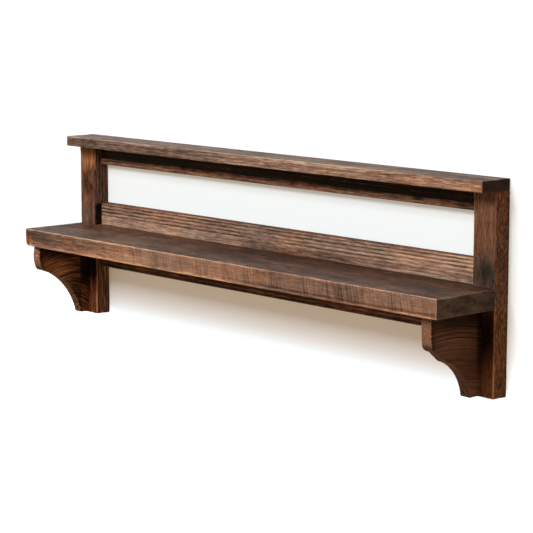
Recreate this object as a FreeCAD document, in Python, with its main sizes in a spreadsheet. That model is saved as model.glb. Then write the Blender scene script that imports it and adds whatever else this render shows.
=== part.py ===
import FreeCAD, Part
import math
import os
import Sketcher
from types import SimpleNamespace

# A rustic wooden wall shelf: two posts against the wall carry a narrow top ledge and a deep main shelf,
# with rails between the posts and a scrolled corbel under each end of the shelf.
# Frame: X along the shelf, the wall is the plane Y = 0 and the front is -Y, Z up.
# The origin is in the wall plane, midway along the shelf, level with the shelf's top.

# Driving dimensions in millimetres
sizes = {
    # boards
    "length": 900,  # shelf and ledge, end to end
    "post_width": 40,  # post, along the shelf
    "post_depth": 26,  # post, out from the wall
    "post_height": 276,
    "shelf_height": 120,  # underside of the shelf above the posts' feet
    "shelf_depth": 138,  # shelf, out from the wall
    "shelf_thickness": 28,
    "ledge_depth": 54,
    "ledge_thickness": 16,
    "rail_thickness": 14,
    "upper_rail_height": 30,
    "lower_rail_rise": 35,  # lower rail above the shelf's top
    "rail_seat_depth": 4,  # rebate along the shelf's back edge that the lower rail stands in
    "apron_height": 42,
    "edge_round": 2,  # worn arrises of the boards
    # corbels
    "corbel_thickness": 18,
    "corbel_offset": 0,  # left side of a corbel from the left side of its post
    "nose_setback": 14.5,  # corbel's nose behind the shelf's front edge
    "nose_height": 45,
    "nose_swell": 1.7,  # how far the nose bows forward
    "nose_round": 10,  # rounded lower corner of the nose
    "lip_length": 16,  # underside of the nose, before the cove
    "lip_fall": 8,  # fall of that underside towards the wall
    "cove_hollow": 10.5,  # deepest point of the cove from its chord
    "foot_depth": 19,  # foot of the corbel, out from the post
    "foot_lift": 2,  # foot of the corbel above the post's foot
    # dowels
    "dowel_diameter": 6,
    "dowel_length": 30,
    "dowel_clearance": 0.1,  # round a dowel
    "dowel_end_gap": 0.5,  # beyond each end of a dowel
    "ledge_dowel_inset": 12,  # from the end of the ledge
    "ledge_dowel_bite": 10,  # length of a dowel that is in the ledge
    "apron_dowel_offset": 220,  # dowels between the apron and the shelf, from the middle
    "corbel_dowel_reach": 60,  # from the front of the post
    # screws
    "screw_diameter": 4,
    "screw_length": 58,
    "screw_head_diameter": 8,
    "screw_head_height": 2.6,
    "screw_clearance": 0.1,
    "screw_end_gap": 0.5,  # beyond the end of a screw
    "corbel_screw_height": 62,  # above the post's foot
    # keyhole hangers
    "hanger_drop": 64,  # round part of the keyholes below the posts' tops
    "hanger_width": 16,
    "hanger_below": 18,  # hanger plate below the centre of the keyhole's round part
    "hanger_above": 28,
    "hanger_thickness": 2,
    "keyhole_diameter": 9,
    "keyhole_slot": 4.4,
    "keyhole_rise": 11,  # from the centre of the round part to the top of the slot
    "head_room_width": 12,  # pocket behind the keyhole for the head of a wall screw
    "head_room_depth": 8,
    "head_room_below": 6.5,
    "head_room_above": 17,
    "pin_diameter": 2.6,  # small screws that hold a hanger plate
    "pin_length": 12,
    "pin_head_diameter": 5,
    "pin_head_height": 1.4,
    "pin_edge": 5,  # centre of a small screw from the end of the plate
}

doc = FreeCAD.newDocument("wall_shelf")
sheet = doc.addObject("Spreadsheet::Sheet", "Sizes")
for row, (name, number) in enumerate(sizes.items(), start=1):
    sheet.set(f"A{row}", name)
    sheet.set(f"B{row}", str(number))
    sheet.setAlias(f"B{row}", name)
doc.recompute()


class Size:
    """A length that keeps its number beside the formula of sheet cells that it comes from."""

    def __init__(self, number, formula):
        self.number = number
        self.formula = formula

    def __add__(self, other):
        other = as_size(other)
        return Size(self.number + other.number, f"({self.formula} + {other.formula})")

    def __sub__(self, other):
        other = as_size(other)
        return Size(self.number - other.number, f"({self.formula} - {other.formula})")

    def __mul__(self, other):
        other = as_size(other)
        return Size(self.number * other.number, f"({self.formula} * {other.formula})")

    def __truediv__(self, other):
        other = as_size(other)
        return Size(self.number / other.number, f"({self.formula} / {other.formula})")

    def __neg__(self):
        return Size(-self.number, f"(0 - {self.formula})")


def as_size(value):
    return value if isinstance(value, Size) else Size(value, str(value))


size = SimpleNamespace(**{name: Size(sheet.get(name), f"Sizes.{name}") for name in sizes})

# Levels and places that several pieces share
half_length = size.length / 2
foot_level = -(size.shelf_height + size.shelf_thickness)
post_top = foot_level + size.post_height
rail_span = size.length - size.post_width * 2
rail_middle = size.rail_thickness / 2
post_middle = size.post_width / 2
post_lefts = {"left": -half_length, "right": half_length - size.post_width}
corbel_middle = size.corbel_offset + size.corbel_thickness / 2  # from the left side of a post
corbel_depth = size.shelf_depth - size.nose_setback - size.post_depth
corbel_height = size.shelf_height - size.foot_lift
lower_rail_height = size.lower_rail_rise + size.rail_seat_depth
dowel_half = size.dowel_length / 2
dowel_hole = size.dowel_diameter + size.dowel_clearance * 2
dowel_socket = dowel_half + size.dowel_end_gap
screw_hole = size.screw_diameter + size.screw_clearance * 2
screw_head_hole = size.screw_head_diameter + size.screw_clearance * 2
screw_head_recess = size.screw_head_height + size.screw_clearance
screw_bite = size.screw_length - size.post_depth + size.screw_end_gap
pin_hole = size.pin_diameter + size.screw_clearance * 2
pin_head_hole = size.pin_head_diameter + size.screw_clearance * 2
pin_head_recess = size.pin_head_height + size.screw_clearance
hanger_height = size.post_height - size.hanger_drop
apron_dowel_places = [-size.apron_dowel_offset, size.apron_dowel_offset]


# Helpers that bind a document object to the sheet


def bind(thing, path, value):
    thing.setExpression(path, as_size(value).formula)


def place(thing, x, y, z):
    for axis, value in zip("xyz", (x, y, z)):
        bind(thing, f"Placement.Base.{axis}", value)


def new_body(label, x, y, z):
    body = doc.addObject("PartDesign::Body", label)
    body.Label = label
    place(body, x, y, z)
    return body


def new_sketch(body, name, role, offset):
    sketch = body.newObject("Sketcher::SketchObject", name)
    plane = next(item for item in body.Origin.OriginFeatures if item.Role == role)
    sketch.AttachmentSupport = [(plane, "")]
    sketch.MapMode = "FlatFace"
    bind(sketch, "AttachmentOffset.Base.z", offset)
    return sketch


def bind_constraint(sketch, constraint, value):
    index = sketch.addConstraint(constraint)
    bind(sketch, f"Constraints[{index}]", value)


def pin_point(sketch, shape, end, x, y):
    """Hold one end of a sketch element at x, y from the sketch's origin."""
    for kind, axis, value in (("DistanceX", -2, x), ("DistanceY", -1, y)):
        if as_size(value).number == 0 and not isinstance(value, Size):
            sketch.addConstraint(Sketcher.Constraint("PointOnObject", shape, end, axis))
        else:
            held = Sketcher.Constraint(kind, -1, 1, shape, end, as_size(value).number)
            bind_constraint(sketch, held, value)


def draw_outline(sketch, corners):
    """A closed outline: each corner is x, y and the bow of the arc to the next one, or None for a line."""
    points = [FreeCAD.Vector(as_size(x).number, as_size(y).number, 0) for x, y, _ in corners]
    ends = []
    for index, (x, y, bow) in enumerate(corners):
        start = points[index]
        stop = points[(index + 1) % len(points)]
        if bow is None:
            shape = sketch.addGeometry(Part.LineSegment(start, stop))
            ends.append((shape, 1, 2))
        else:
            across = FreeCAD.Vector(start.y - stop.y, stop.x - start.x, 0).normalize()
            middle = (start + stop) * 0.5 + across * bow.number
            shape = sketch.addGeometry(Part.Arc(start, middle, stop))
            backward = sketch.getPoint(shape, 2).isEqual(start, 1e-6)
            ends.append((shape, 2, 1) if backward else (shape, 1, 2))
    for index, (x, y, bow) in enumerate(corners):
        shape, first, last = ends[index]
        next_shape, next_first, _ = ends[(index + 1) % len(corners)]
        sketch.addConstraint(Sketcher.Constraint("Coincident", shape, last, next_shape, next_first))
        pin_point(sketch, shape, first, x, y)
        if bow is not None:
            next_x, next_y, _ = corners[(index + 1) % len(corners)]
            across = as_size(next_x) - x
            along = as_size(next_y) - y
            reach = bow if bow.number > 0 else -bow
            radius = (across * across + along * along) / (reach * 8) + reach / 2
            bind_constraint(sketch, Sketcher.Constraint("Radius", shape, radius.number), radius)


def rectangle(width, height, x=0, y=0):
    """Corners of a rectangle whose lowest corner is at x, y."""
    right = as_size(x) + width
    top = as_size(y) + height
    return [(x, y, None), (right, y, None), (right, top, None), (x, top, None)]


def pad(body, name, role, corners, height):
    sketch = new_sketch(body, f"{name}_outline", role, 0)
    draw_outline(sketch, corners)
    feature = body.newObject("PartDesign::Pad", name)
    feature.Profile = sketch
    bind(feature, "Length", height)
    return feature


# The six faces of a board, as seen by someone who drills into it: sketch plane and whether the cut
# runs along the plane's own direction. A board lies from its local origin towards +X, +Y and +Z.
faces = {
    "top": ("XY_Plane", False),
    "bottom": ("XY_Plane", True),
    "front": ("XZ_Plane", False),
    "back": ("XZ_Plane", True),
    "left": ("YZ_Plane", True),
    "right": ("YZ_Plane", False),
}


def pocket(body, name, face, sketch, depth):
    feature = body.newObject("PartDesign::Pocket", name)
    feature.Profile = sketch
    feature.Reversed = faces[face][1]
    bind(feature, "Length", depth)


def cut(body, name, face, offset, corners, depth):
    """A recess of one outline and depth into a face."""
    sketch = new_sketch(body, f"{name}_outline", faces[face][0], offset)
    draw_outline(sketch, corners)
    pocket(body, name, face, sketch, depth)


def drill(body, name, face, offset, centres, diameter, depth):
    """Round holes of one diameter and depth into a face; centres are in the face's own two axes."""
    sketch = new_sketch(body, f"{name}_outline", faces[face][0], offset)
    for x, y in centres:
        centre = FreeCAD.Vector(as_size(x).number, as_size(y).number, 0)
        circle = Part.Circle(centre, FreeCAD.Vector(0, 0, 1), diameter.number / 2)
        shape = sketch.addGeometry(circle)
        pin_point(sketch, shape, 3, x, y)
        bind_constraint(sketch, Sketcher.Constraint("Diameter", shape, diameter.number), diameter)
    pocket(body, name, face, sketch, depth)


def ease(body, name, base, radius, wanted):
    """Round the edges of a feature whose middle and direction pass the test."""
    doc.recompute()
    chosen = []
    for index, edge in enumerate(base.Shape.Edges, start=1):
        middle = edge.valueAt((edge.FirstParameter + edge.LastParameter) / 2)
        if wanted(middle, edge.tangentAt(edge.FirstParameter)):
            chosen.append(f"Edge{index}")
    feature = body.newObject("PartDesign::Fillet", name)
    feature.Base = (base, chosen)
    bind(feature, "Radius", radius)
    return feature


def near(value, target):
    return abs(value - as_size(target).number) < 0.01


# Boards


def make_shelf_board():
    """Main shelf: notched round both posts, with a rebate along the back for the lower rail."""
    label = "shelf_board"
    body = new_body(label, -half_length, -size.shelf_depth, -size.shelf_thickness)
    shoulder = size.shelf_depth - size.post_depth
    inner = size.length - size.post_width
    outline = [
        (0, 0, None),
        (size.length, 0, None),
        (size.length, shoulder, None),
        (inner, shoulder, None),
        (inner, size.shelf_depth, None),
        (size.post_width, size.shelf_depth, None),
        (size.post_width, shoulder, None),
        (0, shoulder, None),
    ]
    board = pad(body, "board", "XY_Plane", outline, size.shelf_thickness)

    def outer(middle, direction):
        outside = near(middle.y, 0) or near(middle.x, 0) or near(middle.x, size.length)
        return outside and not near(abs(direction.z), 1)

    ease(body, "worn_edges", board, size.edge_round, outer)
    rail_front = size.shelf_depth - size.rail_thickness
    rebate = rectangle(rail_span, size.rail_thickness, size.post_width, rail_front)
    cut(body, "rail_rebate", "top", size.shelf_thickness, rebate, size.rail_seat_depth)
    screw_level = size.shelf_thickness / 2
    screw_places = [(post_middle, screw_level), (size.length - post_middle, screw_level)]
    drill(body, "screw_holes", "back", -shoulder, screw_places, screw_hole, screw_bite)
    apron_line = size.shelf_depth - rail_middle
    apron_places = [(half_length + x, apron_line) for x in apron_dowel_places]
    corbel_line = shoulder - size.corbel_dowel_reach
    corbel_places = [(x + half_length + corbel_middle, corbel_line) for x in post_lefts.values()]
    drill(body, "dowel_holes", "bottom", 0, apron_places + corbel_places, dowel_hole, dowel_socket)
    return body


def make_top_ledge():
    """Narrow ledge that lies on the posts and the upper rail."""
    label = "top_ledge"
    body = new_body(label, -half_length, -size.ledge_depth, post_top)
    board = pad(body, "board", "XY_Plane", rectangle(size.length, size.ledge_depth), size.ledge_thickness)

    def outer(middle, direction):
        outside = near(middle.y, 0) or near(middle.x, 0) or near(middle.x, size.length)
        return outside and not near(abs(direction.z), 1)

    ease(body, "worn_edges", board, size.edge_round, outer)
    ends = [size.ledge_dowel_inset, size.length - size.ledge_dowel_inset]
    places = [(end, size.ledge_depth - size.post_depth / 2) for end in ends]
    drill(body, "dowel_holes", "bottom", 0, places, dowel_hole, size.ledge_dowel_bite + size.dowel_end_gap)
    return body


# Heights of the rails' centres above the posts' feet
rail_centres = {
    "upper_rail": size.post_height - size.upper_rail_height / 2,
    "lower_rail": size.shelf_height + size.shelf_thickness + size.lower_rail_rise / 2,
    "apron_rail": size.shelf_height - size.apron_height / 2,
}


def make_post(side):
    """Full-height post, bored for dowels and screws and mortised behind for its hanger plate."""
    label = f"{side}_post"
    left = side == "left"
    body = new_body(label, post_lefts[side], -size.post_depth, foot_level)
    board = pad(body, "board", "XY_Plane", rectangle(size.post_width, size.post_depth), size.post_height)

    def front_arris(middle, direction):
        return near(middle.y, 0) and near(abs(direction.z), 1)

    ease(body, "worn_edges", board, size.edge_round, front_arris)

    rail_line = size.post_depth - rail_middle
    rail_places = [(rail_line, centre) for centre in rail_centres.values()]
    inner_face = "right" if left else "left"
    inner_offset = size.post_width if left else 0
    drill(body, "rail_dowel_holes", inner_face, inner_offset, rail_places, dowel_hole, dowel_socket)
    ledge_x = size.ledge_dowel_inset if left else size.post_width - size.ledge_dowel_inset
    ledge_place = [(ledge_x, size.post_depth / 2)]
    ledge_depth = size.dowel_length - size.ledge_dowel_bite + size.dowel_end_gap
    drill(body, "ledge_dowel_hole", "top", size.post_height, ledge_place, dowel_hole, ledge_depth)
    screw_places = [
        (post_middle, size.shelf_height + size.shelf_thickness / 2),
        (corbel_middle, size.corbel_screw_height),
    ]
    drill(body, "screw_holes", "back", -size.post_depth, screw_places, screw_hole, size.post_depth)
    drill(body, "screw_heads", "back", -size.post_depth, screw_places, screw_head_hole, screw_head_recess)
    mortise = rectangle(
        size.hanger_width,
        size.hanger_below + size.hanger_above,
        post_middle - size.hanger_width / 2,
        hanger_height - size.hanger_below,
    )
    cut(body, "hanger_mortise", "back", -size.post_depth, mortise, size.hanger_thickness)
    head_room = rectangle(
        size.head_room_width,
        size.head_room_below + size.head_room_above,
        post_middle - size.head_room_width / 2,
        hanger_height - size.head_room_below,
    )
    head_room_depth = size.hanger_thickness + size.head_room_depth
    cut(body, "head_room", "back", -size.post_depth, head_room, head_room_depth)
    pin_places = [(post_middle, hanger_height + rise) for rise in pin_rises()]
    pin_depth = size.pin_length + size.screw_end_gap
    drill(body, "pin_holes", "back", -size.post_depth, pin_places, pin_hole, pin_depth)
    return body


def pin_rises():
    """Heights of a hanger plate's two small screws from the centre of its keyhole's round part."""
    return [size.pin_edge - size.hanger_below, size.hanger_above - size.pin_edge]


def make_rail(label, bottom, height, eased_top, eased_bottom):
    """Rail between the posts, flush with their backs; its free front arrises are worn."""
    body = new_body(label, size.post_width - half_length, -size.rail_thickness, bottom)
    board = pad(body, "board", "XY_Plane", rectangle(rail_span, size.rail_thickness), height)

    def free(middle, direction):
        worn = (eased_top and near(middle.z, height)) or (eased_bottom and near(middle.z, 0))
        return worn and near(middle.y, 0)

    ease(body, "worn_edges", board, size.edge_round, free)
    centre = rail_centres[label] + foot_level - bottom
    for face, offset in (("left", 0), ("right", rail_span)):
        drill(body, f"{face}_dowel_hole", face, offset, [(rail_middle, centre)], dowel_hole, dowel_socket)
    return body


def make_rails():
    upper = make_rail("upper_rail", post_top - size.upper_rail_height, size.upper_rail_height, False, True)
    lower = make_rail("lower_rail", -size.rail_seat_depth, lower_rail_height, True, False)
    apron_bottom = -(size.shelf_thickness + size.apron_height)
    apron = make_rail("apron_rail", apron_bottom, size.apron_height, False, True)
    places = [(rail_span / 2 + x, rail_middle) for x in apron_dowel_places]
    drill(apron, "shelf_dowel_holes", "top", size.apron_height, places, dowel_hole, dowel_socket)
    return [upper, lower, apron]


def make_corbel(side):
    """Scrolled bracket sawn from one board: a bowed nose, a rounded lip and a cove down to the foot."""
    x = post_lefts[side] + size.corbel_offset
    nose_front = size.nose_setback - size.shelf_depth
    body = new_body(f"{side}_corbel", x, nose_front, foot_level + size.foot_lift)
    nose_bottom = corbel_height - size.nose_height
    lip_front = size.nose_swell + size.nose_round
    lip_back = lip_front + size.lip_length
    foot_front = corbel_depth - size.foot_depth
    corner_bow = size.nose_round * (1 - math.sqrt(0.5))  # a quarter circle's bow from its chord
    outline = [
        (corbel_depth, 0, None),
        (corbel_depth, corbel_height, None),
        (size.nose_swell, corbel_height, size.nose_swell * -1),
        (size.nose_swell, nose_bottom + size.nose_round, -corner_bow),
        (lip_front, nose_bottom, None),
        (lip_back, nose_bottom - size.lip_fall, size.cove_hollow),
        (foot_front, 0, None),
    ]
    pad(body, "board", "YZ_Plane", outline, size.corbel_thickness)
    middle = size.corbel_thickness / 2
    screw_place = [(middle, size.corbel_screw_height - size.foot_lift)]
    drill(body, "screw_hole", "back", -corbel_depth, screw_place, screw_hole, screw_bite)
    dowel_place = [(middle, corbel_depth - size.corbel_dowel_reach)]
    drill(body, "dowel_hole", "top", corbel_height, dowel_place, dowel_hole, dowel_socket)
    return body


# Hangers


def make_hanger_plate(side):
    """Steel keyhole plate, let in flush with the back of its post."""
    x = post_lefts[side] + post_middle - size.hanger_width / 2
    z = foot_level + hanger_height - size.hanger_below
    body = new_body(f"{side}_hanger_plate", x, -size.hanger_thickness, z)
    height = size.hanger_below + size.hanger_above
    plate = pad(body, "plate", "XZ_Plane", rectangle(size.hanger_width, height), size.hanger_thickness)
    plate.Reversed = True
    middle = size.hanger_width / 2
    back = -size.hanger_thickness
    round_part = [(middle, size.hanger_below)]
    drill(body, "keyhole_round", "back", back, round_part, size.keyhole_diameter, size.hanger_thickness)
    slot_rise = size.keyhole_rise - size.keyhole_slot / 2
    slot = rectangle(size.keyhole_slot, slot_rise, middle - size.keyhole_slot / 2, size.hanger_below)
    cut(body, "keyhole_slot", "back", back, slot, size.hanger_thickness)
    slot_end = [(middle, size.hanger_below + slot_rise)]
    drill(body, "keyhole_slot_end", "back", back, slot_end, size.keyhole_slot, size.hanger_thickness)
    places = [(middle, size.hanger_below + rise) for rise in pin_rises()]
    drill(body, "pin_holes", "back", back, places, pin_hole, size.hanger_thickness)
    drill(body, "pin_heads", "back", back, places, pin_head_hole, pin_head_recess)
    return body


# Dowels and screws, each kind a group of separate solids

turns = {
    "x": FreeCAD.Rotation(FreeCAD.Vector(0, 1, 0), 90),
    "z": FreeCAD.Rotation(),
    "-y": FreeCAD.Rotation(FreeCAD.Vector(1, 0, 0), 90),
}


def make_group(label, members):
    group = doc.addObject("Part::Compound", label)
    group.Label = label
    group.Links = members
    return group


def make_dowel(name, x, y, z, direction):
    dowel = doc.addObject("Part::Cylinder", name)
    bind(dowel, "Radius", size.dowel_diameter / 2)
    bind(dowel, "Height", size.dowel_length)
    dowel.Placement = FreeCAD.Placement(FreeCAD.Vector(), turns[direction])
    place(dowel, x, y, z)
    return dowel


def make_rail_dowels(rail):
    """A dowel in each end of a rail, half in the rail and half in the post."""
    z = rail_centres[rail] + foot_level
    joints = (size.post_width - half_length, half_length - size.post_width)
    dowels = [make_dowel(f"{rail}_dowel", x - dowel_half, -rail_middle, z, "x") for x in joints]
    return make_group(f"{rail}_dowels", dowels)


def make_ledge_dowels():
    z = post_top + size.ledge_dowel_bite - size.dowel_length
    places = (size.ledge_dowel_inset - half_length, half_length - size.ledge_dowel_inset)
    dowels = [make_dowel("ledge_dowel", x, -size.post_depth / 2, z, "z") for x in places]
    return make_group("ledge_dowels", dowels)


def make_shelf_dowels():
    """Dowels up into the shelf's underside, from the apron and from the corbels."""
    z = -size.shelf_thickness - dowel_half
    apron = [make_dowel("apron_dowel", x, -rail_middle, z, "z") for x in apron_dowel_places]
    corbel_line = -(size.post_depth + size.corbel_dowel_reach)
    corbel_lines = [x + corbel_middle for x in post_lefts.values()]
    corbel = [make_dowel("corbel_dowel", x, corbel_line, z, "z") for x in corbel_lines]
    return [make_group("apron_shelf_dowels", apron), make_group("corbel_shelf_dowels", corbel)]


def make_screw(name, x, z, length, diameter, head_diameter, head_height):
    """Screw driven along -Y, its flat head flush with the wall plane, with a plain shank."""
    head = doc.addObject("Part::Cylinder", f"{name}_head")
    bind(head, "Radius", head_diameter / 2)
    bind(head, "Height", head_height)
    shank = doc.addObject("Part::Cylinder", f"{name}_shank")
    bind(shank, "Radius", diameter / 2)
    bind(shank, "Height", length)
    screw = doc.addObject("Part::MultiFuse", name)
    screw.Shapes = [head, shank]
    screw.Refine = True
    screw.Placement = FreeCAD.Placement(FreeCAD.Vector(), turns["-y"])
    place(screw, x, 0, z)
    return screw


def make_wood_screw(name, x, height):
    return make_screw(
        name,
        x,
        foot_level + height,
        size.screw_length,
        size.screw_diameter,
        size.screw_head_diameter,
        size.screw_head_height,
    )


def make_screws():
    """Long screws through the posts into the shelf and the corbels, and small ones in the hanger plates."""
    post_lines = [x + post_middle for x in post_lefts.values()]
    shelf_level = size.shelf_height + size.shelf_thickness / 2
    shelf = [make_wood_screw("shelf_screw", x, shelf_level) for x in post_lines]
    corbel_lines = [x + corbel_middle for x in post_lefts.values()]
    corbel = [make_wood_screw("corbel_screw", x, size.corbel_screw_height) for x in corbel_lines]
    pins = [
        make_screw(
            "hanger_pin",
            x,
            foot_level + hanger_height + rise,
            size.pin_length,
            size.pin_diameter,
            size.pin_head_diameter,
            size.pin_head_height,
        )
        for x in post_lines
        for rise in pin_rises()
    ]
    return [
        make_group("shelf_screws", shelf),
        make_group("corbel_screws", corbel),
        make_group("hanger_screws", pins),
    ]


pieces = [make_shelf_board(), make_top_ledge()]
pieces += [make_post(side) for side in ("left", "right")]
pieces += make_rails()
pieces += [make_corbel(side) for side in ("left", "right")]
pieces += [make_hanger_plate(side) for side in ("left", "right")]
pieces += [make_rail_dowels(rail) for rail in rail_centres]
pieces += [make_ledge_dowels()]
pieces += make_shelf_dowels()
pieces += make_screws()
doc.recompute()

# Nothing is written unless every object is sound and every cut has removed material
for item in doc.Objects:
    if "Invalid" in item.State or "Error" in item.State:
        raise RuntimeError(f"{item.Label} could not be made: {item.State}")
    if item.TypeId == "PartDesign::Pocket" and item.Shape.Volume >= item.BaseFeature.Shape.Volume:
        raise RuntimeError(f"{item.Label} cuts nothing")
os.makedirs("parts", exist_ok=True)
for piece in pieces:
    if piece.Shape.isNull() or not piece.Shape.isValid():
        raise RuntimeError(f"{piece.Label} has no valid shape")
    piece.Shape.exportStep(f"parts/{piece.Label}.step")
    print(piece.Label, len(piece.Shape.Solids), "solids", round(piece.Shape.Volume), "mm3")
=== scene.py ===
import math
from types import SimpleNamespace as named

import bpy
import numpy as np
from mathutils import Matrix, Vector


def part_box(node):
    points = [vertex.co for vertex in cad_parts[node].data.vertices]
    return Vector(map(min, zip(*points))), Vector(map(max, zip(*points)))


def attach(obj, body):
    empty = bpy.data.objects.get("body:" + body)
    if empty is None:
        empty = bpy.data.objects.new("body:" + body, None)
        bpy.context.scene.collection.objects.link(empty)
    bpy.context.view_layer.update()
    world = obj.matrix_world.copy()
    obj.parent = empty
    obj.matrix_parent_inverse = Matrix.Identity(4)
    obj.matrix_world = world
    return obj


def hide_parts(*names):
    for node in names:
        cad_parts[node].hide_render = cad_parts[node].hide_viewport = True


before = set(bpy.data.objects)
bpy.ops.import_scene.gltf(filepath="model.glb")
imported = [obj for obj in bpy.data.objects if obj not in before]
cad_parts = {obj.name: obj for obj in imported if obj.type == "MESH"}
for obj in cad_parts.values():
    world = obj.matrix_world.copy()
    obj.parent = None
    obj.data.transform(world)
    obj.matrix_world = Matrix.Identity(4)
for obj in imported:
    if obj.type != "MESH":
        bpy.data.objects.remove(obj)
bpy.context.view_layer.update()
scene = bpy.context.scene
mm = 0.001
farOut = 1.0  # metres, well past any board
print("frame loaded,", len(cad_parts), "nodes")


def ease(low, high, value):
    # 0 below low, 1 above high, and a cubic ease between them, or falling where low is the larger
    t = np.clip((value - low) / (high - low), 0, 1)
    return t * t * (3 - 2 * t)


def bell(value, middle, width):
    # 1 at the middle, falling off as a Gaussian of that width
    return np.exp(-(((value - middle) / width) ** 2))


def between(start, end, share):
    # start where the share is 0, end where it is 1, and in proportion between
    return start + (end - start) * share


# Large numbers that scatter a lattice corner's place and a seed
hashAxes = np.array([374761393, 668265263, 1274126177])
hashSeed = 982451653
hashRounds = ((13, 1103515245), (11, 12345653))
hashBits = 0x7FFFFFFF


def softNoise(points, scale, seed):
    # value noise: hashed numbers at whole-number corners, eased between them, from -1 to 1
    p = points * np.asarray(scale, float)
    base = np.floor(p).astype(np.int64)
    share = ease(0, 1, p - base)
    total = np.zeros(len(p))
    for corner in range(8):
        step = corner >> np.arange(3) & 1
        h = (base + step) @ hashAxes + seed * hashSeed
        for shift, factor in hashRounds:
            h = ((h ^ (h >> shift)) * factor) & hashBits
        weight = np.where(step == 1, share, 1 - share).prod(axis=1)
        total += weight * ((h >> 8 & 0xFFFF) / 32767.5 - 1)
    return total


def layeredNoise(points, scale, seed, layers=3):
    # noise added to itself at twice the scale and half the strength, a few times over
    scale = np.asarray(scale, float)
    total = sum(softNoise(points, scale * 2**k, seed + 17 * k) * 0.5**k for k in range(layers))
    return total / (2 - 0.5 ** (layers - 1))


def noiseDepth(points, depth, scale, seed):
    # a depth that layered noise varies from nothing to all of it
    return depth * (0.5 + 0.5 * layeredNoise(points, scale, seed))


def ruledLines(low, high, step, band, extra=()):
    # even lines from low to high, closer together within one band of each end, and through each extra value
    near = band * np.array([0, 0.08, 0.18, 0.3, 0.45, 0.65, 0.85])
    count = max(2, int(round((high - low - 2 * band) / step)) + 1)
    even = np.linspace(low + band, high - band, count)
    lines = np.unique(np.concatenate([low + near, even, high - near, [high]]).round(9))
    for value in extra:
        lines = lines[np.abs(lines - value) > 0.25 * step]
        lines = np.sort(np.append(lines, value))
    return lines


def carvedShell(xs, ys, zs, cuts=()):
    # the cells of a lattice are wood, except inside a cut, and a face lies wherever wood meets air
    middles = [(line[1:] + line[:-1]) / 2 for line in (xs, ys, zs)]
    wood = np.ones([len(m) for m in middles], bool)
    for low, high in cuts:
        inside = [(m > a) & (m < b) for m, a, b in zip(middles, low, high)]
        wood[np.ix_(*inside)] = False
    ids = np.arange(len(xs) * len(ys) * len(zs)).reshape(len(xs), len(ys), len(zs))
    padded = np.pad(wood, 1).astype(np.int8)
    quads = []
    for axis in range(3):
        b, c = (axis + 1) % 3, (axis + 2) % 3
        change = np.moveaxis(np.diff(padded, axis=axis), (axis, b, c), (0, 1, 2))[:, 1:-1, 1:-1]
        grid = np.moveaxis(ids, (axis, b, c), (0, 1, 2))
        for sign in (1, -1):
            i, j, k = np.nonzero(change == -sign)
            ring = [grid[i, j, k], grid[i, j + 1, k], grid[i, j + 1, k + 1], grid[i, j, k + 1]]
            quads.append(np.stack(ring[::sign], axis=1))
    used, quads = np.unique(np.concatenate(quads), return_inverse=True)
    i, j, k = np.unravel_index(used, ids.shape)
    return np.stack([xs[i], ys[j], zs[k]], axis=1), quads.reshape(-1, 4)


def corners(node):
    # a node's lowest and highest corners as arrays
    return [np.array(corner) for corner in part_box(node)]


def boardShell(node, steps, bands, extras=((), (), ()), cuts=()):
    # the node's box, ruled with its own step and band along x, y and z, and then carved
    low, high = corners(node)
    return carvedShell(*[ruledLines(*given) for given in zip(low, high, steps, bands, extras)], cuts)


def unevenArris(points, radius, share, perMetre, seed):
    # the radius times one plus a share of noise
    return radius * (1 + share * layeredNoise(points, perMetre, seed))


def wornSkin(points, low, high, radius):
    # a point near an arris goes one radius out from its nearest point of the board shrunk by that radius;
    # also gives the direction outwards and the distance to the nearest arris
    low, high = np.asarray(low), np.asarray(high)
    radius = np.broadcast_to(radius, len(points))[:, None]
    gaps = np.concatenate([points - low, high - points], axis=1)
    onSkin = gaps.min(axis=1) < 1e-7
    core = np.clip(points, low + radius, high - radius)
    reach = points - core
    length = np.linalg.norm(reach, axis=1, keepdims=True)
    outward = np.where(onSkin[:, None], reach / np.maximum(length, 1e-12), 0)
    skin = np.where(onSkin[:, None], core + outward * radius, points)
    return skin, outward, np.sort(gaps, axis=1)[:, 1]


def faces(outward):
    # how squarely each point faces left, front, down, right, back and up, from 0 to 1
    return *np.clip(-outward.T, 0, 1), *np.clip(outward.T, 0, 1)


def pressedIn(skin, outward, depth):
    # the surface moved in against its outward direction by the depth, and never out
    return skin - outward * np.maximum(depth, 0)[:, None]


def rubbed(distance, width, share):
    # 1 at an arris, falling off exponentially with distance, times the share of faces given
    return np.exp(-distance / width) * np.clip(share, 0, 1)


def blended(weights, zones):
    # each zone's share at a point times the zone's weight, added up
    return sum((weight * zones[zone] for zone, weight in weights.items()), 0 * zones["front"])


def stained(zones, *looks):
    # tone lightens the stain, warm reddens it and plain calms its figure, by the looks' weights blended
    shades = {}
    for key in ("tone", "warm", "plain"):
        weights = {zone: weight for look in looks for zone, weight in getattr(look, key, {}).items()}
        shades[key] = blended(weights, zones)
    return shades


knotLong, knotSwerve, knotCore = 1.7, 0.8, 1.2  # length by width, swerve of the grain, tightness of the dark


def knotField(along, across, knots):
    # near a knot the grain swerves round it and the wood is darker, by Gaussians of the distance
    bend, dark = 0 * along, 0 * along
    for place, side, size, depth in knots:
        distance = ((along - place) / (knotLong * size)) ** 2 + ((across - side) / size) ** 2
        bend += (across - side) * knotSwerve * np.exp(-distance / 2)
        dark += depth * np.exp(-distance * knotCore)
    return bend, dark


# what each direction of a sawn end's figure takes from x, y and z
endFigure = np.array([(0, 0.5, 0), (0, 0.01, 0.14), (0.1, 0, 0)])


def longGrain(points, onEnd):
    # grain runs along x; on a sawn end the figure is short, with rings as flat arcs and fibres as dots
    x, y, z = points.T
    return np.where(onEnd[:, None], points @ endFigure.T, np.stack([x, y + z, z], axis=1))


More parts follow.
